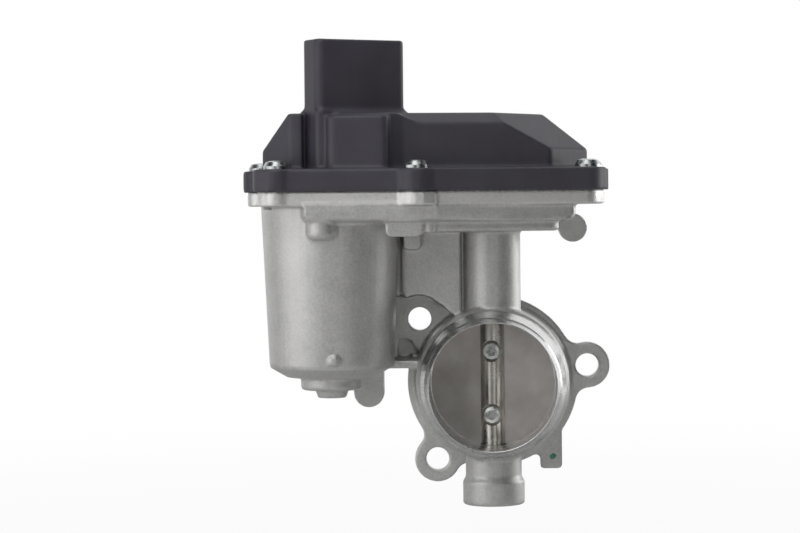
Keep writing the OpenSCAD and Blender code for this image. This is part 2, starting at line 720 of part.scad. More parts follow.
module gearbox_cover() {
    color([0.22, 0.22, 0.24]) difference() {
        union() {
            translate([0, 0, split_z]) linear_extrude(cover_flange_t) rim_2d();
            dome(0);
            translate([0, 0, split_z]) linear_extrude(box_top - split_z) rounded(2.5)
                translate([box_x[0], box_front]) square([box_x[1] - box_x[0], 10]);
            translate([0, 0, split_z]) linear_extrude(connector_top - split_z) connector_2d();
            // Collar round the connector's root, and the catch for the plug's latch
            translate([0, 0, split_z]) linear_extrude(cover_top + 1 - split_z) connector_2d(-0.8);
            connector_catch();
        }
        difference() {
            dome(cover_wall);
            // Blocks that hold the idler's pin and the motor's blades, and posts for the board
            at_idler(small_top + 0.6) cylinder(d = idler_boss_d, h = far);
            translate([contact_xy[0], contact_xy[1], split_z + 4.4]) cube(contact_block);
            for (x = [2, board_size[0] - 2])
                translate([board_xy[0] + x, board_xy[1] + board_size[1] / 2, board_z + board_size[2]])
                    cylinder(d = 3, h = far);
        }
        at_idler(split_z) cylinder(d = idler_pin_d + 2 * press_gap, h = idler_pin_top - split_z);
        for (y = [-3, 3]) translate([blade_x - blade_size[0], motor_y + y - 1.6, split_z])
            cube([1.6, 3.2, motor_top + blade_size[2] - split_z + 1]);
        translate([0, 0, connector_top - socket_depth]) linear_extrude(far) connector_2d(connector_wall);
        terminals(0.02);
        for (p = cover_screw_xy) translate([p[0], p[1], split_z - 1])
            cylinder(d = cover_screw_d + 0.6, h = cover_flange_t + 2);
    }
}

module cover_seal() {
    color([0.12, 0.12, 0.12]) translate([0, 0, split_z - seal_h]) linear_extrude(seal_h) seal_2d();
}

module cover_screws() {
    color([0.8, 0.8, 0.82]) for (p = cover_screw_xy) translate([p[0], p[1], flange_top])
        pan_screw(cover_screw_d, cover_flange_t + rim_t - 0.4, cover_head_d, cover_head_h);
}

terminal_foot = ceiling - 2.5;

module terminals(grow) {
    middle = [connector_w / 2, connector_d / 2];
    translate([connector_xy[0], connector_xy[1], terminal_foot - grow]) rotate(connector_angle)
        for (i = [0:terminal_count - 1])
            translate([middle[0] + (i - (terminal_count - 1) / 2) * terminal_pitch - 1.2 - grow,
                middle[1] - 0.4 - grow, 0])
                cube([2.4 + 2 * grow, 0.8 + 2 * grow, connector_top - 7 - terminal_foot + 2 * grow]);
}

module connector_terminals() color([0.8, 0.7, 0.45]) terminals(0);

module sensor_board() {
    color([0.1, 0.4, 0.2]) translate([board_xy[0], board_xy[1], board_z]) {
        cube(board_size);
        // Angle sensor over the magnet, and two small parts beside it
        translate([-board_xy[0] - 3, -board_xy[1] - shaft_y - 2.5, -1]) cube([6, 5, 1]);
        translate([3, 3, -0.9]) cube([3.2, 1.6, 0.9]);
        translate([3, 14, -0.9]) cube([1.6, 3.2, 0.9]);
    }
}

module sensor_magnet() {
    color([0.3, 0.3, 0.33]) at_shaft(hub_top) difference() {
        cylinder(d = 9, h = 2.2);
        translate([0, 0, -1]) cylinder(r = shaft_r + run_gap, h = shaft_top - hub_top + 1.1);
    }
}

module motor_case() {
    case_h = motor_top - motor_z;
    color([0.6, 0.6, 0.62]) at_motor(motor_z) difference() {
        union() {
            cylinder(d = motor_d, h = case_h);
            translate([0, 0, -5.2]) cylinder(d = case_boss_d, h = 5.3);
        }
        translate([0, 0, case_wall]) cylinder(d = motor_d - 2 * case_wall, h = case_h);
        translate([0, 0, -4]) cylinder(d = 8 + 2 * press_gap, h = 10);
    }
}

magnet_z = 5;
magnet_h = 30;
magnet_t = 2.6;

module motor_magnets() {
    inner_r = motor_d / 2 - case_wall;
    color([0.25, 0.25, 0.27]) at_motor(motor_z + magnet_z) linear_extrude(magnet_h) difference() {
        circle(r = inner_r - press_gap);
        circle(r = inner_r - magnet_t);
        for (s = [-1, 1]) translate([-far / 2, s * (far / 2 + inner_r * 0.72) - far / 2])
            square([far, far]);
    }
}

armature_d = motor_d - 2 * case_wall - 2 * magnet_t - 1.8;
core_z = 8;
core_h = 24;
winding_h = 3;
slot_d = 4;
commutator_d = 9;
commutator_h = 5;

module motor_armature() {
    color([0.65, 0.62, 0.58]) at_motor() {
        translate([0, 0, motor_z - 3.4]) cylinder(d = motor_shaft_d, h = pinion_z + pinion_h - motor_z + 3.8);
        // Laminated core with five slots
        translate([0, 0, motor_z + core_z]) linear_extrude(core_h) difference() {
            circle(d = armature_d);
            for (a = [0:72:288]) rotate(a) {
                translate([armature_d / 2 - slot_d - 0.6, 0]) circle(d = slot_d);
                translate([armature_d / 2 - slot_d, -0.6]) square([slot_d + 2, 1.2]);
            }
        }
        // End turns of the winding, and the commutator
        translate([0, 0, motor_z + core_z - winding_h])
            cylinder(d = armature_d - slot_d - 1, h = core_h + 2 * winding_h);
        translate([0, 0, motor_z + core_z + core_h + winding_h - eps]) difference() {
            cylinder(d = commutator_d, h = commutator_h);
            for (a = [36:72:324]) rotate(a) translate([commutator_d / 2 - 0.5, -0.25, 0.5])
                cube([1, 0.5, commutator_h]);
        }
    }
}

module motor_bushes() {
    color([0.6, 0.5, 0.35]) {
        at_motor(motor_z - 3.9) tube(8, motor_shaft_d + 2 * run_gap, 4.6);
        at_motor(motor_top - 0.9) tube(8, motor_shaft_d + 2 * run_gap, 3.6);
    }
}

module motor_end_cap() {
    color([0.25, 0.25, 0.27]) difference() {
        union() {
            at_motor(motor_top) cylinder(d = motor_d, h = cap_top - motor_top);
            at_motor(motor_top - 3) cylinder(d = motor_d - 2 * case_wall - 0.2, h = 3.1);
            intersection() {
                for (a = motor_ear_angles) at_motor(floor_z) rotate(a) {
                    translate([motor_screw_reach, 0]) cylinder(r = 3, h = cap_top - floor_z);
                    translate([8, -3]) cube([motor_screw_reach - 8, 6, cap_top - floor_z]);
                }
                linear_extrude(far) offset(delta = -0.15) floor_2d();
            }
        }
        at_motor(motor_top - 4) cylinder(d = 9.4, h = 3.1);
        at_motor(motor_top - 4) cylinder(d = motor_shaft_d + 1, h = 10);
        at_motor(motor_top - 0.9 - press_gap) cylinder(d = 8 + 2 * press_gap, h = 10);
        for (a = motor_ear_angles) at_motor(floor_z - 1) rotate(a) translate([motor_screw_reach, 0])
            cylinder(d = motor_screw_d + 0.4, h = 9);
        blades(press_gap);
    }
}

module blades(grow) {
    corner = [blade_x - blade_size[0] / 2, motor_y - blade_size[1] / 2, motor_top];
    for (y = [-3, 3]) translate(corner + [-grow, y - grow, -grow])
        cube([for (length = blade_size) length + 2 * grow]);
}

module motor_terminals() color([0.8, 0.7, 0.45]) blades(0);

module motor_screws() {
    color([0.75, 0.75, 0.77]) for (a = motor_ear_angles) at_motor(cap_top) rotate(a)
        translate([motor_screw_reach, 0]) pan_screw(motor_screw_d, motor_screw_l, motor_head_d, 1.7);
}

washer_outer_d = 27;
washer_inner_d = 19;
washer_t = 0.5;
wave_r = 0.54;

// Flat ring with three ridges that press on the motor's case
module motor_wave_washer() {
    color([0.7, 0.7, 0.72]) at_motor(can_floor) {
        tube(washer_outer_d, washer_inner_d, washer_t);
        for (a = [0:120:240]) rotate(a)
            translate([washer_inner_d / 2 + 0.4, 0, washer_t + wave_r - 0.19]) rotate([0, 90, 0])
                cylinder(r = wave_r, h = (washer_outer_d - washer_inner_d) / 2 - 0.8);
    }
}

module motor_pinion() {
    color([0.75, 0.65, 0.4]) at_motor(pinion_z) difference() {
        linear_extrude(pinion_h) union() {
            rotate(idler_heading) gear_2d(fast_module, pinion_teeth);
            circle(r = pinion_r - tooth_root * fast_module);
        }
        translate([0, 0, -1]) cylinder(d = motor_shaft_d + 2 * press_gap, h = pinion_h + 2);
    }
}

module idler_pin() {
    color([0.75, 0.75, 0.77]) at_idler(floor_z - 1)
        cylinder(d = idler_pin_d, h = idler_pin_top - floor_z + 0.9);
}

module idler_gear() {
    color([0.85, 0.83, 0.75]) at_idler(wheel_z) difference() {
        union() {
            // The large wheel has a gap facing the pinion, the small one a tooth facing the shaft
            difference() {
                linear_extrude(wheel_t) union() {
                    rotate(idler_heading + 180 + 180 / wheel_teeth) gear_2d(fast_module, wheel_teeth);
                    circle(r = wheel_r - tooth_root * fast_module);
                }
                translate([0, 0, wheel_t - 1.4]) tube(2 * wheel_r - 6, 2 * small_r + 4, 3);
                translate([0, 0, -1]) tube(2 * wheel_r - 6, 2 * small_r, 2.2);
            }
            linear_extrude(small_top - wheel_z) union() {
                rotate(mesh_heading + 180) gear_2d(slow_module, small_teeth);
                circle(r = small_r - tooth_root * slow_module);
            }
        }
        translate([0, 0, -1]) cylinder(d = idler_pin_d + 2 * run_gap, h = far / 2);
    }
}

sector_first = -1;
sector_last = opening_angle * sector_teeth / 360 + 1;
sector_pitch = 360 / sector_teeth;
hub_flange_z = sector_z + 1.5;

module sector_gear() {
    start = mesh_heading + sector_pitch / 2 + (sector_first - 1) * sector_pitch;
    span = (sector_last - sector_first) * sector_pitch;
    root = sector_r - tooth_root * slow_module;
    color([0.2, 0.2, 0.22]) at_shaft(sector_z) difference() {
        linear_extrude(sector_t) union() {
            rotate(start) gear_2d(slow_module, sector_teeth, 0, sector_last - sector_first);
            intersection() {
                circle(r = root);
                rotate(start - sector_pitch / 2) polygon([
                    [0, 0], far * [cos(0), sin(0)],
                    for (a = [30:30:span]) far * [cos(a), sin(a)],
                    far * [cos(span + sector_pitch), sin(span + sector_pitch)]
                ]);
            }
            circle(d = hub_flange_d + 3);
        }
        translate([0, 0, -1]) cylinder(d = hub_neck_d + 2 * press_gap, h = far);
        translate([0, 0, hub_flange_z - sector_z - press_gap])
            cylinder(d = hub_flange_d + 2 * press_gap, h = 2 + 2 * press_gap);
        // Slot that makes the web lighter between rim and hub
        translate([0, 0, sector_t - 2]) linear_extrude(3) intersection() {
            difference() {
                circle(r = root - 1.6);
                circle(d = hub_flange_d + 3);
            }
            rotate(start + 4) polygon([
                [0, 0], far * [1, 0], for (a = [30:30:span - 10]) far * [cos(a), sin(a)],
                far * [cos(span - 8), sin(span - 8)]
            ]);
        }
    }
}

module sector_hub() {
    color([0.72, 0.72, 0.74]) at_shaft() difference() {
        union() {
            translate([0, 0, floor_z + 0.8]) cylinder(d = hub_neck_d, h = hub_top - floor_z - 0.8);
            translate([0, 0, hub_flange_z]) cylinder(d = hub_flange_d, h = 2);
        }
        translate([0, 0, floor_z]) cylinder(r = shaft_r + press_gap, h = far);
    }
}

spring_wire = 1.2;
spring_mean_r = hub_neck_d / 2 + 1.9;
spring_turns = 4;
spring_pitch = 1.3;
spring_leg = 5;

// One polyhedron swept along the spring's turns, with a straight leg at each end
module return_spring() {
    steps = 20;
    sides = 8;
    count = spring_turns * steps;
    points = [for (i = [0:count]) let (a = i * 360 / steps, z = i * spring_pitch / steps)
        for (k = [0:sides - 1]) let (b = k * 360 / sides, r = spring_mean_r + spring_wire / 2 * cos(b))
            [r * cos(a), r * sin(a), z + spring_wire / 2 * sin(b)]];
    faces = concat(
        [[for (k = [sides - 1:-1:0]) k]],
        [for (i = [0:count - 1], k = [0:sides - 1]) let (p = i * sides, q = (k + 1) % sides)
            [p + k, p + q, p + sides + q, p + sides + k]],
        [[for (k = [0:sides - 1]) count * sides + k]]
    );
    color([0.5, 0.5, 0.52]) at_shaft(floor_z + spring_wire / 2 + 0.1) {
        polyhedron(points, faces, convexity = 8);
        for (z = [0, spring_turns * spring_pitch]) translate([spring_mean_r - 0.2, 0, z]) rotate([0, 90, 0])
            cylinder(d = spring_wire - 0.1, h = spring_leg, $fn = 16);
    }
}

module upper_bearing() color([0.7, 0.7, 0.72])
    at_shaft(bearing_z) tube(bearing_d, shaft_d + 2 * run_gap, bearing_l - 0.2);

module shaft_seal() color([0.15, 0.12, 0.1])
    at_shaft(seal_z) tube(bearing_d, shaft_d + 2 * run_gap, seal_l - 0.1);

module lower_bush() color([0.65, 0.55, 0.35])
    at_shaft(bush_z) tube(bush_d, shaft_d + 2 * run_gap, bush_l - press_gap);

module end_plug() color([0.75, 0.75, 0.77]) at_shaft(plug_z) cylinder(d = plug_d, h = plug_t);

// Turns a piece to the angle that the plate has when it is closed
module at_closed_angle() at_shaft() rotate(-closed_angle) children();

flat_depth = 1.1;

module valve_shaft() {
    color([0.62, 0.6, 0.57]) difference() {
        at_shaft(shaft_bottom) cylinder(r = shaft_r, h = shaft_top - shaft_bottom);
        at_closed_angle() {
            // Slot for the plate
            translate([-far / 2, -plate_t / 2 - press_gap, -bore_r])
                cube([far, plate_t + 2 * press_gap, 2 * bore_r]);
            // Spot faces and holes for the plate screws
            for (z = [-plate_screw_gap / 2, plate_screw_gap / 2]) translate([0, 0, z]) {
                translate([0, flat_depth - shaft_r, 0]) along_bore()
                    cylinder(d = plate_head_d + 0.6, h = shaft_r);
                translate([0, shaft_r - 0.5, 0]) along_bore()
                    cylinder(d = plate_screw_d + 2 * press_gap, h = 2 * shaft_r);
            }
        }
    }
}

module valve_plate() {
    color([0.45, 0.44, 0.43]) difference() {
        intersection() {
            along_bore() cylinder(r = bore_r - plate_gap, h = 2 * shaft_y);
            at_closed_angle() translate([-far / 2, -plate_t / 2, -far / 2]) cube([far, plate_t, far]);
        }
        at_closed_angle() for (z = [-plate_screw_gap / 2, plate_screw_gap / 2])
            translate([0, shaft_r, z]) along_bore()
                cylinder(d = plate_screw_d + 2 * press_gap, h = 2 * shaft_r);
    }
}

module plate_screws() {
    color([0.7, 0.7, 0.68]) at_closed_angle() for (z = [-plate_screw_gap / 2, plate_screw_gap / 2])
        translate([0, flat_depth - shaft_r, z]) along_bore()
            pan_screw(plate_screw_d, 2 * shaft_r - flat_depth - 0.8, plate_head_d, plate_head_h);
}

valve_body();
gearbox_cover();
cover_seal();
cover_screws();
connector_terminals();
sensor_board();
sensor_magnet();
motor_case();
motor_magnets();
motor_armature();
motor_bushes();
motor_end_cap();
motor_terminals();
motor_screws();
motor_wave_washer();
motor_pinion();
idler_pin();
idler_gear();
sector_gear();
sector_hub();
return_spring();
upper_bearing();
shaft_seal();
lower_bush();
end_plug();
valve_shaft();
valve_plate();
plate_screws();
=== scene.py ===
import math

import bmesh
import bpy
from mathutils import Matrix, Vector


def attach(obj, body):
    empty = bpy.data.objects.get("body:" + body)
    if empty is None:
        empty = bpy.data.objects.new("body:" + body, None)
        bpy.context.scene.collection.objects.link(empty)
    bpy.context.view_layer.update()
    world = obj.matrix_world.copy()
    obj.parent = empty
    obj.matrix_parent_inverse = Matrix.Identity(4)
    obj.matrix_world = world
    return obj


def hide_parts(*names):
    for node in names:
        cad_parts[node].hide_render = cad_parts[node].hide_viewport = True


bl_info = {
    "name": "Exhaust gas recirculation valve",
    "version": (1, 0, 0),
    "blender": (4, 5, 0),
    "location": "View3D > Sidebar > Valve",
    "description": "Finishes the pieces of a motor-driven flap valve and lights them",
    "category": "Object",
}

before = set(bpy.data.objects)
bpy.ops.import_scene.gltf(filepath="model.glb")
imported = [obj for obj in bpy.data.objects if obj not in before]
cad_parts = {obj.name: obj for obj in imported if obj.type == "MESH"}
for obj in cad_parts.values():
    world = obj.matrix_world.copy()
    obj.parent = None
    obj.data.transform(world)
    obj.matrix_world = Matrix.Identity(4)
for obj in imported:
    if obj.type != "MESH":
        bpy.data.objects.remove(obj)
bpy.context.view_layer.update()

MM = 0.001

# Sizes of the turned spigot, as in the solids (mm): radius and distance in front of the flange's back
BORE_R = 18.7
SPIGOT_R = 21.82
SHOULDER = 21.0
SPIGOT_PROFILE = [(SPIGOT_R, SHOULDER), (SPIGOT_R, 22.6), (21.78, 22.85), (21.65, 23.1), (20.35, 29.6),
                  (20.27, 29.9), (20.12, 30.14), (19.95, 30.3), (19.8, 30.6), (19.15, 33.4), (19.05, 33.75),
                  (18.98, 33.9), (18.86, 34.0)]
SPIGOT_LIP = [(18.76, 33.95), (BORE_R, 33.8), (BORE_R, 0.0)]
LATHE_STEPS = 192
# The turned spigot takes the casting's place inside this radius, and overlaps it a little
CORE_R = 21.0
OVERLAP = 0.1
NOSE_OVERLAP = 0.04
# How far the cuts along the bore start in front of the flange's back, and how far they end behind it
CUT_FRONT = 45.0
CUT_BACK = 5.0
# A face that lies this close outside the turned radius belongs to the turned surface
BORE_SLACK = 0.06
NOSE_SLACK = 0.05
# The shaft's bore: how far it lies in front of the flange's back, its radius and half its length
SHAFT_Y = -12.0
SHAFT_BORE_R = 4.15
SHAFT_REACH = 30
# Underside of the trimmed rim that carries the cover
RIM_BOTTOM = 53.3
# Share of the fine grid's faces that is kept, and the angle in degrees from which an edge stays hard
FACES_KEPT = 0.3
CASTING_CREASE = 38
COVER_CREASE = 180
MARK_CREASE = 60
# Additions to the casting: plan outline, bottom, top and the rounding of the lower edge.
# The raised front of the pan under the rim, the facets of the rim's ear, and the web behind the upper ear
PAN_LEDGE = ([(-54.3, -42.9), (-16.0, -42.9), (24.2, -32.4), (22.0, -27.0), (-52.0, -34.0)],
             48.7, RIM_BOTTOM + 1.0, 2.2)
RIM_FACETS = ([(-26.6, -43.0), (-26.1, -43.6), (-21.9, -45.3), (-19.6, -45.3), (-16.5, -43.8), (-16.0, -43.0),
               (-18.0, -40.0), (-24.0, -40.0)], RIM_BOTTOM + 0.1, RIM_BOTTOM + 4.2, 0.0)
WEB_FILL = ([(-19.0, -4.5), (-14.5, -4.5), (-14.5, -0.5), (-19.0, -0.5)], 22.5, 26.5, 0.0)
# Cuts in the casting, seen from the front: the path of the groove round the upper ear, the pocket in the
# web and the slot under the rim, with the depth that each runs from and to
GROOVE_WIDTH = 0.5
EAR_GROOVE = [(-27.6, 26.6), (-26.7, 25.7), (-25.2, 25.6), (-23.6, 26.1), (-22.0, 26.3), (-20.0, 26.0),
              (-18.3, 25.2), (-16.6, 24.0), (-14.6, 22.4), (-12.8, 21.0), (-11.4, 20.2)]
GROOVE_DEPTH = (-22.0, -3.4)
POCKET = [(-28.4, 13.0), (-26.2, 13.1), (-25.5, 12.7), (-22.4, 9.7), (-22.1, 9.0), (-22.5, 8.3), (-28.4, 8.0)]
POCKET_DEPTH = (-9.0, -1.8)
RIM_SLOT = [(-67.1, 52.4), (-64.4, 52.4), (-64.4, 53.05), (-67.1, 53.05)]
RIM_SLOT_DEPTH = (-40.0, -26.0)
# Cut under the pan's ledge, which sets the boss of the middle screw back: plan outline, bottom and top
BOSS_FRONT = ([(-32.0, -50.0), (-19.0, -50.0), (-19.0, -40.6), (-32.0, -40.6)], 43.0, 48.7)
# Additions to the cover, and its cuts beside the column that carries the plug shell
COVER_FILLS = [
    ([(-58.6, -36.2), (-55.0, -36.2), (-56.2, -29.5), (-54.5, -26.5), (-59.5, -26.5), (-60.3, -34.0)],
     62.0, 78.4, 0.0),
    ([(-56.0, -36.6), (-51.0, -40.0), (-50.0, -37.0), (-53.0, -27.0), (-59.0, -27.0)], 61.5, 64.2, 0.0),
    ([(-55.3, -30.1), (-51.25, -37.1), (-50.75, -37.8), (-49.91, -38.12), (-49.1, -38.15), (-48.25, -37.9),
      (-45.0, -36.0), (-50.2, -27.1)], 62.0, 80.0, 0.0),
]
COVER_NOTCHES = [
    ([(-54.9, -34.0), (-55.6, -30.3), (-50.4, -39.3), (-50.4, -47.0), (-54.9, -47.0)], 64.2, 90.0),
    ([(-57.5, -38.0), (-55.5, -30.4), (-54.8, -29.0), (-54.0, -28.0), (-57.5, -26.0)], 80.4, 90.0),
]
# The inspection mark on the flange's tab: its middle, mean radius, lift and how far it sinks in (mm)
MARK_CENTRE = Vector((18.0, -5.0, -23.1))
MARK_R = 1.05
MARK_LIFT = 0.06
MARK_SINK = 0.05
MARK_TOP_SHARE = 0.75
MARK_STEPS = 40
MARK_COLOUR = "#5fb09b"

# The photograph's camera: where it stands, its focal length in pixels and the pixel that it looks at
PHOTO_SIZE = (800, 533)
CAMERA_AT = Vector((-3.9, -762.6, 54.7))
FOCAL_PIXELS = 2500
AXIS_PIXEL = (478.2, 200.1)
ROLL_DEGREES = 0.55
SENSOR_MM = 36.0

# The floor's height and half its side, in metres
FLOOR_Z = -60 * MM
FLOOR_HALF = 6.0

# Soft lights: degrees to the left of the camera, degrees up, distance and side of the square in metres, watts
STAGE_CENTRE = Vector((-0.018, -0.012, 0.025))
LIGHTS = {
    "right_light": (-110, 12, 0.5, 0.32, 0.66),
    "front_light": (-14, 6, 1.0, 0.3, 0.34),
    "left_light": (40, 12, 0.5, 0.32, 0.38),
    "high_front_light": (15, 48, 0.5, 0.32, 0.67),
    "near_left_light": (70, 5, 0.3, 0.2, 0.14),
    "top_light": (0, 89.9, 0.5, 0.32, 0.56),
}


def linear(code):
    """Turn an sRGB hex colour such as #9a9a98 into linear red, green, blue and an alpha of 1."""
    values = [int(code[i:i + 2], 16) / 255 for i in (1, 3, 5)]
    return tuple(v / 12.92 if v <= 0.04045 else ((v + 0.055) / 1.055) ** 2.4 for v in values) + (1.0,)


def add_node(tree, kind, inputs=None, links=None, **settings):
    """Add a node, with its settings, its unlinked inputs and the sockets that feed its other inputs."""
    node = tree.nodes.new(kind)
    for name, value in settings.items():
        setattr(node, name, value)
    for socket, value in (inputs or {}).items():
        node.inputs[socket].default_value = value
    for socket, source in (links or {}).items():
        tree.links.new(source, node.inputs[socket])
    return node


def new_material(name, **inputs):
    """A material with one Principled shader; returns the material, its node tree and the shader."""
    material = bpy.data.materials.new(name)
    material.use_nodes = True
    tree = material.node_tree
    tree.nodes.clear()
    shader = add_node(tree, "ShaderNodeBsdfPrincipled",
                      inputs={name.replace("_", " "): value for name, value in inputs.items()})
    add_node(tree, "ShaderNodeOutputMaterial", links={"Surface": shader.outputs["BSDF"]})
    return material, tree, shader


def scale_for(size_mm):
    """Texture scale at which one feature of the pattern is size_mm wide on an object in metres."""
    return 1.0 / (size_mm * MM)


def object_point(tree):
    """Where a point lies on the object, in metres, so that a pattern stays with its piece."""
    return add_node(tree, "ShaderNodeTexCoord").outputs["Object"]


def noise(tree, point, size_mm, detail=2.0, roughness=0.5):
    """Cloudy pattern from 0 to 1 with patches size_mm wide."""
    pattern = add_node(tree, "ShaderNodeTexNoise", links={"Vector": point},
                       inputs={"Scale": scale_for(size_mm), "Detail": detail, "Roughness": roughness})
    return pattern.outputs["Fac"]


def vary_colour(tree, shader, factor, dark, light, low=0.3, high=0.7):
    """Blend the base colour from dark to light as the factor rises from low to high."""
    ramp = add_node(tree, "ShaderNodeValToRGB", links={"Fac": factor})
    ramp.color_ramp.elements[0].position = low
    ramp.color_ramp.elements[1].position = high
    ramp.color_ramp.elements[0].color = linear(dark)
    ramp.color_ramp.elements[1].color = linear(light)
    tree.links.new(ramp.outputs["Color"], shader.inputs["Base Color"])
    return ramp


def vary_roughness(tree, shader, factor, low, high):
    """Let the roughness run from low to high with the factor."""
    spread = add_node(tree, "ShaderNodeMapRange", links={"Value": factor},
                      inputs={"From Min": 0.3, "From Max": 0.7, "To Min": low, "To Max": high})
    tree.links.new(spread.outputs["Result"], shader.inputs["Roughness"])


def bump(tree, shader, height, depth_mm, strength):
    """Raise and sink the surface in its shading by up to depth_mm."""
    node = add_node(tree, "ShaderNodeBump", links={"Height": height},
                    inputs={"Strength": strength, "Distance": depth_mm * MM})
    tree.links.new(node.outputs["Normal"], shader.inputs["Normal"])


def cast_aluminium():
    # Aluminium die casting, shot-blasted: a dull grey with a fine grain that glitters slightly,
    # cloudy patches from the die, no sharp reflections, and a paler rim where a press trimmed it.
    # The blasted grain is drawn 0.8 mm wide, coarser than the real one, so that it shows
    material, tree, shader = new_material("cast_aluminium_shot_blasted", Metallic=0.8)
    point = object_point(tree)
    cloud = noise(tree, point, 9, 3.0, 0.6)
    grain = noise(tree, point, 0.8, 3.0, 0.7)
    both = add_node(tree, "ShaderNodeMix", data_type="FLOAT", inputs={"Factor": 0.65},
                    links={"A": cloud, "B": grain}).outputs["Result"]
    height = add_node(tree, "ShaderNodeSeparateXYZ", links={"Vector": point}).outputs["Z"]
    trimmed = add_node(tree, "ShaderNodeMapRange", links={"Value": height},
                       inputs={"From Min": RIM_BOTTOM * MM, "From Max": (RIM_BOTTOM + 0.5) * MM,
                               "To Min": 0.0, "To Max": 0.28}).outputs["Result"]
    tone = add_node(tree, "ShaderNodeMath", operation="ADD", links={0: both, 1: trimmed}).outputs[0]
    vary_colour(tree, shader, tone, "#c1c1c0", "#ecebea", 0.32, 0.8)
    vary_roughness(tree, shader, grain, 0.38, 0.6)
    bump(tree, shader, grain, 0.1, 0.5)
    return material


def turned_aluminium():
    # The same casting where it was turned: bright, with fine tool rings 0.3 mm apart round the bore
    material, tree, shader = new_material("turned_aluminium", Metallic=1.0)
    place = add_node(tree, "ShaderNodeSeparateXYZ", links={"Vector": object_point(tree)})
    ring = add_node(tree, "ShaderNodeMath", operation="MULTIPLY", links={0: place.outputs["Y"]},
                    inputs={1: 2 * math.pi / (0.3 * MM)})
    wave = add_node(tree, "ShaderNodeMath", operation="SINE", links={0: ring.outputs[0]}).outputs[0]
    patch = noise(tree, object_point(tree), 4, 2.0)
    vary_colour(tree, shader, patch, "#d0d1d1", "#e4e4e3")
    vary_roughness(tree, shader, patch, 0.22, 0.3)
    bump(tree, shader, wave, 0.012, 0.4)
    return material


def black_nylon():
    # Glass-filled black nylon, injection moulded in a spark-eroded tool: a matt, slightly bluish
    # black with a fine even grain and faint grey flow marks. The grain is drawn 0.3 mm wide, so that it shows
    material, tree, shader = new_material("black_nylon_moulded", IOR=1.53)
    point = object_point(tree)
    flow = noise(tree, point, 14, 2.0)
    grain = noise(tree, point, 0.3, 1.0, 0.6)
    vary_colour(tree, shader, flow, "#423f48", "#4a4851")
    vary_roughness(tree, shader, grain, 0.45, 0.56)
    bump(tree, shader, grain, 0.03, 0.5)
    return material


def zinc_plated_steel():
    # Cold-headed steel screw, zinc plated: bright bluish silver with soft uneven gloss
    material, tree, shader = new_material("zinc_plated_steel", Metallic=1.0)
    patch = noise(tree, object_point(tree), 1.2, 3.0, 0.6)
    vary_colour(tree, shader, patch, "#aeb2b4", "#d9dcdc")
    vary_roughness(tree, shader, patch, 0.2, 0.42)
    bump(tree, shader, patch, 0.02, 0.4)
    return material


def turned_stainless():
    # Turned stainless steel with a light oxide film: warm grey, tool rings 0.25 mm apart
    material, tree, shader = new_material("turned_stainless_shaft", Metallic=0.9)
    place = add_node(tree, "ShaderNodeSeparateXYZ", links={"Vector": object_point(tree)})
    ring = add_node(tree, "ShaderNodeMath", operation="MULTIPLY", links={0: place.outputs["Z"]},
                    inputs={1: 2 * math.pi / (0.25 * MM)})
    wave = add_node(tree, "ShaderNodeMath", operation="SINE", links={0: ring.outputs[0]}).outputs[0]
    film = noise(tree, object_point(tree), 5, 3.0, 0.6)
    vary_colour(tree, shader, film, "#c2bdb5", "#dad6cf")
    vary_roughness(tree, shader, film, 0.18, 0.3)
    bump(tree, shader, wave, 0.01, 0.4)
    return material


def rolled_stainless():
    # Stainless sheet, blanked and tumbled: satin grey with faint rolling marks and a brownish bloom
    material, tree, shader = new_material("rolled_stainless_sheet", Metallic=0.9)
    stretch = add_node(tree, "ShaderNodeMapping", inputs={"Scale": (1.0, 1.0, 12.0)},
                       links={"Vector": object_point(tree)}).outputs["Vector"]
    marks = noise(tree, stretch, 3, 2.0)
    bloom = noise(tree, object_point(tree), 11, 3.0, 0.6)
    vary_colour(tree, shader, bloom, "#bdb7b2", "#d8d4d1")
    vary_roughness(tree, shader, marks, 0.42, 0.52)
    bump(tree, shader, marks, 0.002, 0.3)
    return material


def plain_metal(name, dark, light, roughness, patch_mm):
    # Ground, drawn or sintered metal inside the valve: patches of tone and gloss of patch_mm
    material, tree, shader = new_material(name, Metallic=1.0)
    patch = noise(tree, object_point(tree), patch_mm, 3.0, 0.6)
    vary_colour(tree, shader, patch, dark, light)
    vary_roughness(tree, shader, patch, roughness - 0.06, roughness + 0.08)
    bump(tree, shader, patch, 0.01, 0.3)
    return material


def plain_moulding(name, dark, light, roughness, patch_mm):
    # Moulded plastic, rubber, ferrite or lacquer: patches of tone with a fine grain of 0.25 mm
    material, tree, shader = new_material(name)
    patch = noise(tree, object_point(tree), patch_mm, 2.0)
    grain = noise(tree, object_point(tree), 0.25, 1.0)
    vary_colour(tree, shader, patch, dark, light)
    vary_roughness(tree, shader, grain, roughness - 0.05, roughness + 0.08)
    bump(tree, shader, grain, 0.02, 0.4)
    return material


def wear(node_names, material):
    """Give CAD nodes one material in all their slots."""
    for name in node_names:
        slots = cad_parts[name].data.materials
        if not len(slots):
            slots.append(material)
        for index in range(len(slots)):
            slots[index] = material


def piece_from(name, form):
    """Turn a finished bmesh into a piece of the scene."""
    bmesh.ops.recalc_face_normals(form, faces=form.faces)
    mesh = bpy.data.meshes.new(name)
    form.to_mesh(mesh)
    form.free()
    piece = bpy.data.objects.new(name, mesh)
    bpy.context.scene.collection.objects.link(piece)
    return piece


def add_stack(form, rings):
    """Add a closed body to a bmesh: rings of equally many points in mm, each joined to the next."""
    loops = [[form.verts.new(Vector(point) * MM) for point in ring] for ring in rings]
    form.faces.new(list(reversed(loops[0])))
    form.faces.new(loops[-1])
    for here, there in zip(loops, loops[1:]):
        for k in range(len(here)):
            m = (k + 1) % len(here)
            form.faces.new((here[k], here[m], there[m], there[k]))


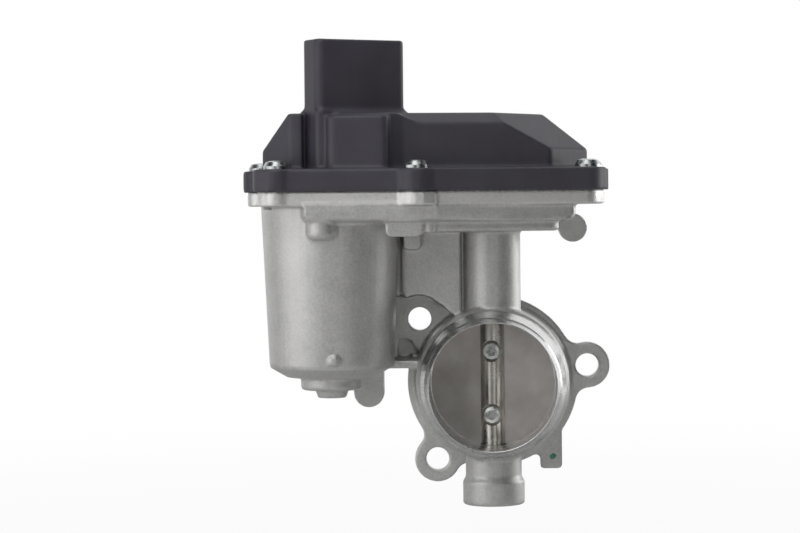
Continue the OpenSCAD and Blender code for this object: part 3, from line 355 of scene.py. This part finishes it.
def add_ledge(form, outline, bottom, top, edge):
    """Add a slab with a plan outline in mm, its lower edge rounded."""
    middle = sum((Vector(point) for point in outline), Vector((0, 0))) / len(outline)
    levels = [(0.0, bottom)]
    if edge:
        turns = [math.radians(degrees) for degrees in range(90, -1, -15)]
        levels = [(edge * (1 - math.cos(turn)), bottom + edge * (1 - math.sin(turn))) for turn in turns]
    rings = []
    for inset, z in levels + [(0.0, top)]:
        rings.append([(x + math.copysign(inset, middle.x - x), y + math.copysign(inset, middle.y - y), z)
                      for x, y in outline])
    add_stack(form, rings)


def add_prism(form, outline, front, back):
    """Add a prism along the bore's axis with an outline seen from the front, in mm."""
    add_stack(form, [[(x, y, z) for x, z in outline] for y in (back, front)])


def strip(path, width):
    """Outline of a strip of even width along a path of points."""
    left, right = [], []
    for k, point in enumerate(path):
        along = (Vector(path[min(k + 1, len(path) - 1)]) - Vector(path[max(k - 1, 0)])).normalized()
        side = Vector((-along.y, along.x)) * width / 2
        left.append(Vector(point) + side)
        right.append(Vector(point) - side)
    return left + right[::-1]


def lathe(name, profile):
    """Closed ring round the bore's axis from (radius, distance in front of the flange) points in mm."""
    form = bmesh.new()
    rings = []
    for i in range(LATHE_STEPS):
        angle = 2 * math.pi * i / LATHE_STEPS
        rings.append([form.verts.new((r * MM * math.cos(angle), -y * MM, r * MM * math.sin(angle)))
                      for r, y in profile])
    for here, there in zip(rings, rings[1:] + rings[:1]):
        for k in range(len(profile)):
            m = (k + 1) % len(profile)
            form.faces.new((here[k], here[m], there[m], there[k]))
    return piece_from(name, form)


def rod(name, radius, start, end):
    """Solid cylinder between two points in mm, used to cut holes."""
    start, end = Vector(start) * MM, Vector(end) * MM
    along = end - start
    form = bmesh.new()
    turn = Vector((0, 0, 1)).rotation_difference(along).to_matrix().to_4x4()
    bmesh.ops.create_cone(form, cap_ends=True, segments=LATHE_STEPS, radius1=radius * MM,
                          radius2=radius * MM, depth=along.length,
                          matrix=Matrix.Translation((start + end) / 2) @ turn)
    return piece_from(name, form)


def bake_modifiers(piece):
    """Replace a piece's mesh by what its modifiers make of it."""
    bpy.context.view_layer.update()
    result = bpy.data.meshes.new_from_object(piece.evaluated_get(bpy.context.evaluated_depsgraph_get()))
    piece.modifiers.clear()
    piece.data = result


def combine(piece, other, operation):
    """Cut a second closed mesh away or join it on, and remove it."""
    step = piece.modifiers.new("combine", "BOOLEAN")
    step.operation = operation
    step.object = other
    step.solver = "MANIFOLD"
    bake_modifiers(piece)
    bpy.data.objects.remove(other)


def add_grid(piece, voxel_mm):
    """Remesh a piece on a grid of even cells, which joins what overlaps into one skin."""
    grid = piece.modifiers.new("grid", "REMESH")
    grid.mode = "VOXEL"
    grid.voxel_size = voxel_mm * MM
    grid.adaptivity = 0.0


def soften(name, node, voxel_mm, passes, ledges, notches):
    """Copy a CAD node, with ledges and notches, into a piece whose edges are rounded as in a mould."""
    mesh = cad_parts[node].data.copy()
    form = bmesh.new()
    form.from_mesh(mesh)
    for outline, bottom, top, edge in ledges:
        add_ledge(form, outline, bottom, top, edge)
    form.to_mesh(mesh)
    form.free()
    piece = bpy.data.objects.new(name, mesh)
    bpy.context.scene.collection.objects.link(piece)
    add_grid(piece, voxel_mm)
    for outline, bottom, top in notches:
        bake_modifiers(piece)
        notch = bmesh.new()
        add_stack(notch, [[(x, y, z) for x, y in outline] for z in (bottom, top)])
        combine(piece, piece_from("notch", notch), "DIFFERENCE")
    add_grid(piece, voxel_mm)
    blur = piece.modifiers.new("blur", "SMOOTH")
    blur.factor = 0.5
    blur.iterations = passes
    thin = piece.modifiers.new("thin", "DECIMATE")
    thin.ratio = FACES_KEPT
    bake_modifiers(piece)
    piece.data.materials.clear()
    return piece


def shade(piece, crease_degrees):
    """Smooth shading with hard edges where two faces meet at more than the given angle."""
    mesh = piece.data
    mesh.shade_smooth()
    mesh.set_sharp_from_angle(angle=math.radians(crease_degrees))


def hand_over(piece, body, slot, *nodes):
    """Let a piece ride on a body in place of its CAD nodes."""
    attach(piece, body)
    if nodes:
        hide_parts(*nodes)


class ValveSettings(bpy.types.PropertyGroup):
    """Sizes, light and colour that a user would change"""
    casting_grid: bpy.props.FloatProperty(
        name="Casting grid", description="Cell of the grid that rounds the casting's edges, in millimetres",
        default=0.4, min=0.3, max=1.0)
    casting_passes: bpy.props.IntProperty(
        name="Casting rounding", description="How often the casting is smoothed", default=4, min=0, max=30)
    cover_grid: bpy.props.FloatProperty(
        name="Cover grid", description="Cell of the grid that rounds the cover's edges, in millimetres",
        default=0.45, min=0.3, max=1.0)
    cover_passes: bpy.props.IntProperty(
        name="Cover rounding", description="How often the cover is smoothed", default=6, min=0, max=30)
    light_level: bpy.props.FloatProperty(
        name="Light level", description="Brightness of all lamps, one for the photograph's", subtype="FACTOR",
        default=1.0, min=0.0, soft_max=2.0)
    room_level: bpy.props.FloatProperty(
        name="Room light", description="Strength of the even light from all round", subtype="FACTOR",
        default=0.01, min=0.0, soft_max=1.0)
    paint_colour: bpy.props.FloatVectorProperty(
        name="Paint mark", description="Colour of the inspection mark on the flange", subtype="COLOR",
        default=linear(MARK_COLOUR)[:3], min=0.0, max=1.0)


class VALVE_OT_casting(bpy.types.Operator):
    """Make the die-cast housing with its turned spigot"""
    bl_idname = "valve.casting"
    bl_label = "Die-cast housing"

    def execute(self, context):
        settings = context.scene.valve_settings
        housing = soften("die_cast_housing", "valve_body", settings.casting_grid, settings.casting_passes,
                         [PAN_LEDGE, RIM_FACETS, WEB_FILL], [BOSS_FRONT])
        hollows = bmesh.new()
        add_prism(hollows, strip(EAR_GROOVE, GROOVE_WIDTH), *GROOVE_DEPTH)
        add_prism(hollows, POCKET, *POCKET_DEPTH)
        add_prism(hollows, RIM_SLOT, *RIM_SLOT_DEPTH)
        combine(housing, piece_from("cut_hollows", hollows), "DIFFERENCE")
        # The bore and the spigot are turned apart and joined on, so their edges stay crisp
        front, shoulder, back = (0, -CUT_FRONT, 0), (0, -SHOULDER, 0), (0, CUT_BACK, 0)
        combine(housing, rod("cut_core", CORE_R, front, back), "DIFFERENCE")
        combine(housing, rod("cut_nose", SPIGOT_R - NOSE_OVERLAP, front, shoulder), "DIFFERENCE")
        root = [(CORE_R + OVERLAP, 0.0), (CORE_R + OVERLAP, SHOULDER)]
        turned = lathe("turned_spigot", root + SPIGOT_PROFILE + SPIGOT_LIP)
        lower, upper = (0, SHAFT_Y, -SHAFT_REACH), (0, SHAFT_Y, SHAFT_REACH)
        combine(turned, rod("cut_shaft", SHAFT_BORE_R, lower, upper), "DIFFERENCE")
        combine(housing, turned, "UNION")
        mesh = housing.data
        mesh.materials.clear()
        mesh.materials.append(cast_aluminium())
        mesh.materials.append(turned_aluminium())
        for face in mesh.polygons:
            x, y, z = face.center / MM
            reach = math.hypot(x, z)
            on_nose = y < -SHOULDER and reach < SPIGOT_R + NOSE_SLACK
            face.material_index = int(reach < BORE_R + BORE_SLACK or on_nose)
        shade(housing, CASTING_CREASE)
        # Normals follow the larger faces, so the turned rings meet in crisp lines
        rings = housing.modifiers.new("rings", "WEIGHTED_NORMAL")
        rings.keep_sharp = True
        rings.weight = 90
        hand_over(housing, "housing", "valve_body", "valve_body")
        return {"FINISHED"}


class VALVE_OT_cover(bpy.types.Operator):
    """Make the moulded gearbox cover with its plug shell"""
    bl_idname = "valve.cover"
    bl_label = "Gearbox cover"

    def execute(self, context):
        settings = context.scene.valve_settings
        cover = soften("moulded_cover", "gearbox_cover", settings.cover_grid, settings.cover_passes,
                       COVER_FILLS, COVER_NOTCHES)
        cover.data.materials.append(black_nylon())
        shade(cover, COVER_CREASE)
        hand_over(cover, "housing", "gearbox_cover", "gearbox_cover")
        return {"FINISHED"}


class VALVE_OT_flap(bpy.types.Operator):
    """Finish the shaft and the plate that closes the bore, with its screws"""
    bl_idname = "valve.flap"
    bl_label = "Shaft and plate"

    def execute(self, context):
        wear(["valve_shaft"], turned_stainless())
        wear(["valve_plate"], rolled_stainless())
        wear(["plate_screws"], plain_metal("tumbled_stainless_screws", "#c9cbc8", "#e4e6e3", 0.3, 0.8))
        return {"FINISHED"}


class VALVE_OT_fasteners(bpy.types.Operator):
    """Finish the screws and the pressed plug"""
    bl_idname = "valve.fasteners"
    bl_label = "Screws and plug"

    def execute(self, context):
        wear(["cover_screws", "motor_screws", "end_plug"], zinc_plated_steel())
        return {"FINISHED"}


class VALVE_OT_motor(bpy.types.Operator):
    """Finish the pieces of the motor"""
    bl_idname = "valve.motor"
    bl_label = "Motor"

    def execute(self, context):
        wear(["motor_case", "motor_wave_washer"],
             plain_metal("drawn_zinc_steel", "#9b9da0", "#b6b8ba", 0.34, 3))
        wear(["motor_armature"], plain_metal("laminated_core", "#7d6a58", "#8f8378", 0.45, 2))
        wear(["motor_magnets"], plain_moulding("ferrite", "#2a2a2d", "#35353a", 0.6, 4))
        wear(["motor_end_cap"], plain_moulding("moulded_brush_holder", "#232326", "#2d2d30", 0.5, 6))
        return {"FINISHED"}


class VALVE_OT_contacts(bpy.types.Operator):
    """Finish the contact blades and the sensor"""
    bl_idname = "valve.contacts"
    bl_label = "Contacts and sensor"

    def execute(self, context):
        wear(["connector_terminals", "motor_terminals"],
             plain_metal("tin_plated_brass", "#b3ab9a", "#cfc8b8", 0.3, 1.5))
        wear(["sensor_board"], plain_moulding("lacquered_board", "#1d4d33", "#256040", 0.35, 3))
        wear(["sensor_magnet"], plain_moulding("sintered_magnet", "#36363a", "#45454a", 0.45, 2))
        return {"FINISHED"}


class VALVE_OT_gears(bpy.types.Operator):
    """Finish the gear train, its pin and the spring"""
    bl_idname = "valve.gears"
    bl_label = "Gears and spring"

    def execute(self, context):
        wear(["idler_gear"], plain_moulding("natural_acetal", "#c9c3b0", "#d8d3c3", 0.4, 5))
        wear(["sector_gear"], plain_moulding("glass_filled_nylon", "#2a2a2c", "#343437", 0.5, 5))
        wear(["motor_pinion"], plain_metal("hobbed_brass", "#b18f4d", "#c9aa68", 0.3, 2))
        wear(["idler_pin", "sector_hub"], plain_metal("ground_steel", "#a2a3a5", "#b9babc", 0.25, 2))
        wear(["return_spring"], plain_metal("spring_steel", "#77797c", "#8f9194", 0.35, 1))
        return {"FINISHED"}


class VALVE_OT_bearings(bpy.types.Operator):
    """Finish the bearings and the rubber seals"""
    bl_idname = "valve.bearings"
    bl_label = "Bearings and seals"

    def execute(self, context):
        wear(["upper_bearing"], plain_metal("bearing_steel", "#a9aaac", "#c0c1c3", 0.25, 2))
        wear(["lower_bush", "motor_bushes"], plain_metal("sintered_bronze", "#8c6b41", "#a38254", 0.45, 0.6))
        wear(["cover_seal", "shaft_seal"], plain_moulding("moulded_rubber", "#161616", "#1f1f1f", 0.55, 3))
        return {"FINISHED"}


class VALVE_OT_paint_mark(bpy.types.Operator):
    """Dab the round inspection mark on the flange's tab"""
    bl_idname = "valve.paint_mark"
    bl_label = "Paint mark"

    def execute(self, context):
        foot, top = [], []
        for i in range(MARK_STEPS):
            angle = 2 * math.pi * i / MARK_STEPS
            # Two slow waves make the dab's outline uneven
            reach = MARK_R + 0.12 * math.sin(2 * angle + 0.6) + 0.06 * math.sin(5 * angle)
            spot = Vector((math.cos(angle), 0, math.sin(angle))) * reach
            foot.append(MARK_CENTRE + spot + Vector((0, MARK_SINK, 0)))
            top.append(MARK_CENTRE + spot * MARK_TOP_SHARE - Vector((0, MARK_LIFT, 0)))
        form = bmesh.new()
        add_stack(form, [foot, top])
        mark = piece_from("paint_mark", form)
        # Marking lacquer dabbed on by hand: green, thin at its rim, with a soft gloss
        material, tree, shader = new_material("marking_lacquer", Roughness=0.4)
        thin = noise(tree, object_point(tree), 0.7, 2.0)
        ramp = vary_colour(tree, shader, thin, MARK_COLOUR, "#4d8a78")
        # The thin places take the colour that the user sets
        ramp.color_ramp.elements[0].color = tuple(context.scene.valve_settings.paint_colour) + (1.0,)
        bump(tree, shader, thin, 0.03, 0.6)
        mark.data.materials.append(material)
        shade(mark, MARK_CREASE)
        hand_over(mark, "housing", "valve_body")
        return {"FINISHED"}


def background_share(tree, behind):
    """One for rays from the camera; off metal or through glass, the share that lies behind the object."""
    path = add_node(tree, "ShaderNodeLightPath")
    glossy, through = path.outputs["Is Glossy Ray"], path.outputs["Is Transmission Ray"]
    shiny = add_node(tree, "ShaderNodeMath", operation="MAXIMUM", links={0: glossy, 1: through}).outputs[0]
    shown = add_node(tree, "ShaderNodeMath", operation="MULTIPLY", links={0: shiny, 1: behind}).outputs[0]
    return add_node(tree, "ShaderNodeMath", operation="MAXIMUM",
                    links={0: path.outputs["Is Camera Ray"], 1: shown}).outputs[0]


class VALVE_OT_stage(bpy.types.Operator):
    """Set up the pale floor, the soft lights and the photograph's camera"""
    bl_idname = "valve.stage"
    bl_label = "Stage"

    def add_floor(self):
        mesh = bpy.data.meshes.new("floor")
        corners = [(x * FLOOR_HALF, y * FLOOR_HALF, FLOOR_Z) for x, y in ((-1, -1), (1, -1), (1, 1), (-1, 1))]
        mesh.from_pydata(corners, [], [(0, 1, 2, 3)])
        floor = bpy.data.objects.new("floor", mesh)
        bpy.context.scene.collection.objects.link(floor)
        # Pale seamless paper: burnt out to white in the picture, with a little of the paper itself
        # left near the object, so that its shadow stays
        material, tree, shader = new_material("seamless_paper", Roughness=0.9)
        point = object_point(tree)
        fibre = noise(tree, point, 2.0, 2.0)
        vary_colour(tree, shader, fibre, "#e9e9e8", "#efefee")
        reach = add_node(tree, "ShaderNodeVectorMath", operation="LENGTH", links={0: point}).outputs["Value"]
        paper = add_node(tree, "ShaderNodeMapRange", interpolation_type="SMOOTHSTEP", links={"Value": reach},
                         inputs={"From Min": 0.1, "From Max": 0.6, "To Min": 0.06, "To Max": 0.0})
        white = add_node(tree, "ShaderNodeEmission", inputs={"Color": (1, 1, 1, 1), "Strength": 1.0})
        part = add_node(tree, "ShaderNodeMixShader",
                        links={0: paper.outputs["Result"], 1: white.outputs[0], 2: shader.outputs["BSDF"]})
        depth = add_node(tree, "ShaderNodeSeparateXYZ", links={"Vector": point}).outputs["Y"]
        behind = add_node(tree, "ShaderNodeMapRange", interpolation_type="SMOOTHSTEP", links={"Value": depth},
                          inputs={"From Min": 0.05, "From Max": 0.6}).outputs["Result"]
        share = background_share(tree, behind)
        mixed = add_node(tree, "ShaderNodeMixShader",
                         links={0: share, 1: shader.outputs["BSDF"], 2: part.outputs[0]})
        output = next(n for n in tree.nodes if n.type == "OUTPUT_MATERIAL")
        tree.links.new(mixed.outputs[0], output.inputs["Surface"])
        mesh.materials.append(material)

    def add_world(self, level):
        world = bpy.data.worlds.new("studio")
        bpy.context.scene.world = world
        world.use_nodes = True
        tree = world.node_tree
        tree.nodes.clear()
        dim = add_node(tree, "ShaderNodeBackground", inputs={"Color": (1, 1, 1, 1), "Strength": level})
        white = add_node(tree, "ShaderNodeBackground", inputs={"Color": (1, 1, 1, 1), "Strength": 1.0})
        direction = add_node(tree, "ShaderNodeTexCoord").outputs["Generated"]
        heading = add_node(tree, "ShaderNodeSeparateXYZ", links={"Vector": direction}).outputs["Y"]
        behind = add_node(tree, "ShaderNodeMapRange", interpolation_type="SMOOTHSTEP",
                          links={"Value": heading}, inputs={"From Min": 0.1, "From Max": 0.8})
        mixed = add_node(tree, "ShaderNodeMixShader",
                         links={0: background_share(tree, behind.outputs["Result"]), 1: dim.outputs[0],
                                2: white.outputs[0]})
        add_node(tree, "ShaderNodeOutputWorld", links={"Surface": mixed.outputs[0]})

    def add_light(self, name, azimuth, elevation, distance, size, power):
        lamp = bpy.data.lights.new(name, "AREA")
        lamp.shape = "SQUARE"
        lamp.size = size
        lamp.energy = power
        light = bpy.data.objects.new(name, lamp)
        turn, tilt = math.radians(azimuth), math.radians(elevation)
        light.location = STAGE_CENTRE + distance * Vector(
            (-math.sin(turn) * math.cos(tilt), -math.cos(turn) * math.cos(tilt), math.sin(tilt)))
        light.rotation_euler = (STAGE_CENTRE - light.location).to_track_quat("-Z", "Y").to_euler()
        bpy.context.scene.collection.objects.link(light)

    def add_camera(self):
        data = bpy.data.cameras.new("camera")
        camera = bpy.data.objects.new("camera", data)
        bpy.context.scene.collection.objects.link(camera)
        data.sensor_width = SENSOR_MM
        data.lens = FOCAL_PIXELS / PHOTO_SIZE[0] * SENSOR_MM
        data.shift_x = (PHOTO_SIZE[0] / 2 - AXIS_PIXEL[0]) / PHOTO_SIZE[0]
        data.shift_y = (AXIS_PIXEL[1] - PHOTO_SIZE[1] / 2) / PHOTO_SIZE[0]
        data.clip_start = 0.01
        camera.matrix_world = (Matrix.Translation(CAMERA_AT * MM) @ Matrix.Rotation(math.radians(90), 4, "X")
                               @ Matrix.Rotation(math.radians(-ROLL_DEGREES), 4, "Z"))
        bpy.context.scene.camera = camera

    def execute(self, context):
        settings = context.scene.valve_settings
        self.add_camera()
        self.add_floor()
        self.add_world(settings.room_level)
        for name, (azimuth, elevation, distance, size, power) in LIGHTS.items():
            self.add_light(name, azimuth, elevation, distance, size, power * settings.light_level)
        context.scene.view_settings.view_transform = "Standard"
        return {"FINISHED"}


class VALVE_PT_panel(bpy.types.Panel):
    """Sizes, colours and steps of the valve"""
    bl_idname = "VALVE_PT_panel"
    bl_label = "Valve"
    bl_space_type = "VIEW_3D"
    bl_region_type = "UI"
    bl_category = "Valve"

    def draw(self, context):
        settings = context.scene.valve_settings
        for name in settings.bl_rna.properties.keys():
            if name not in ("rna_type", "name"):
                self.layout.prop(settings, name)
        for step in STEPS:
            self.layout.operator(step.bl_idname)


STEPS = (
    VALVE_OT_stage,
    VALVE_OT_casting,
    VALVE_OT_cover,
    VALVE_OT_flap,
    VALVE_OT_fasteners,
    VALVE_OT_motor,
    VALVE_OT_contacts,
    VALVE_OT_gears,
    VALVE_OT_bearings,
    VALVE_OT_paint_mark,
)
CLASSES = (ValveSettings,) + STEPS + (VALVE_PT_panel,)


def register():
    for item in CLASSES:
        bpy.utils.register_class(item)
    bpy.types.Scene.valve_settings = bpy.props.PointerProperty(type=ValveSettings)


def unregister():
    del bpy.types.Scene.valve_settings
    for item in reversed(CLASSES):
        bpy.utils.unregister_class(item)


def main():
    register()
    for step in STEPS:
        area, name = step.bl_idname.split(".")
        getattr(getattr(bpy.ops, area), name)()


if __name__ == "__main__":
    main()
